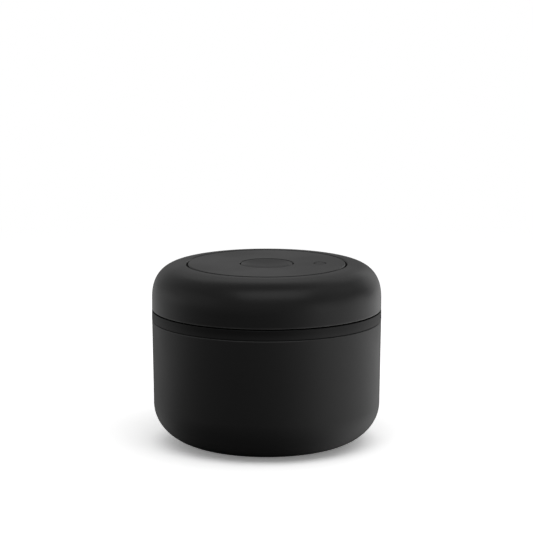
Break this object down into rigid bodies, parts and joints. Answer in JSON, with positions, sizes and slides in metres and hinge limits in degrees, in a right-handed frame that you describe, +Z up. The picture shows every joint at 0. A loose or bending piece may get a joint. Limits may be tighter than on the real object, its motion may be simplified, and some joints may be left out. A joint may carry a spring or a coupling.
{
  "type": "vacuum coffee canister",
  "caption": "Squat round coffee canister with a domed twist lid whose inner pump draws out the air, a dished release button and a vacuum indicator pin.",
  "frame": {"origin": "centre of the foot ring, on the surface that the canister stands on", "axes": "+Z up along the canister's axis; the vacuum indicator lies towards +X of the release button"},
  "size_m": [0.1171, 0.117, 0.093],
  "materials": {
    "coated_steel": "matt powder coat outside, bare satin steel inside",
    "lid_plastic": "soft matt moulded",
    "inner_plastic": "plain moulded",
    "natural_plastic": "unpainted, slightly waxy",
    "silicone": "translucent matt",
    "small_steel": "bright",
    "signal_green": "satin"
  },
  "bodies": {
    "canister": {"canister_body": "coated_steel"},
    "lid": {"lid_base": "lid_plastic", "lid_gasket": "silicone", "vent_cover": "lid_plastic", "filter_screen": "small_steel", "inlet_valve": "silicone", "pump_barrel": "inner_plastic", "barrel_seal": "silicone", "barrel_screws": "small_steel", "top_carrier": "inner_plastic", "carrier_screws": "small_steel", "top_disc": "lid_plastic", "indicator_sleeve": "signal_green", "indicator_diaphragm": "silicone", "indicator_spring": "small_steel", "button_spring": "small_steel"},
    "cap": {"twist_cap": "lid_plastic", "cam_sleeve": "natural_plastic", "cap_screws": "small_steel"},
    "pump_piston": {"piston": "natural_plastic", "piston_seal": "silicone", "column_seal": "silicone", "guide_seal": "silicone", "exhaust_valve": "silicone", "follower_pins": "small_steel"},
    "button": {"release_button": "lid_plastic", "valve_stem": "small_steel", "release_valve": "silicone"},
    "indicator": {"indicator_pin": "lid_plastic"}
  },
  "joints": [
    {"name": "lid_lift", "type": "slide", "parent": "canister", "child": "lid", "axis": [0, 0, 1], "range_m": [0, 0.08]},
    {"name": "cap_twist", "type": "hinge", "parent": "lid", "child": "cap", "pos_m": [0, 0, 0.0693], "axis": [0, 0, 1], "range_deg": [0, 90]},
    {"name": "piston_stroke", "type": "slide", "parent": "lid", "child": "pump_piston", "axis": [0, 0, 1], "range_m": [0, 0.008]},
    {"name": "button_press", "type": "slide", "parent": "lid", "child": "button", "axis": [0, 0, -1], "range_m": [0, 0.002], "stiffness_N_per_m": 800, "springref_m": -0.0025, "deforming": ["button_spring"]},
    {"name": "indicator_drop", "type": "slide", "parent": "lid", "child": "indicator", "axis": [0, 0, -1], "range_m": [0, 0.002], "stiffness_N_per_m": 200, "springref_m": -0.002, "deforming": ["indicator_spring", "indicator_diaphragm"]}
  ],
  "couplings": [
    {"joint": "piston_stroke", "follows": "cap_twist", "m_per_rad": 0.0050929}
  ]
}
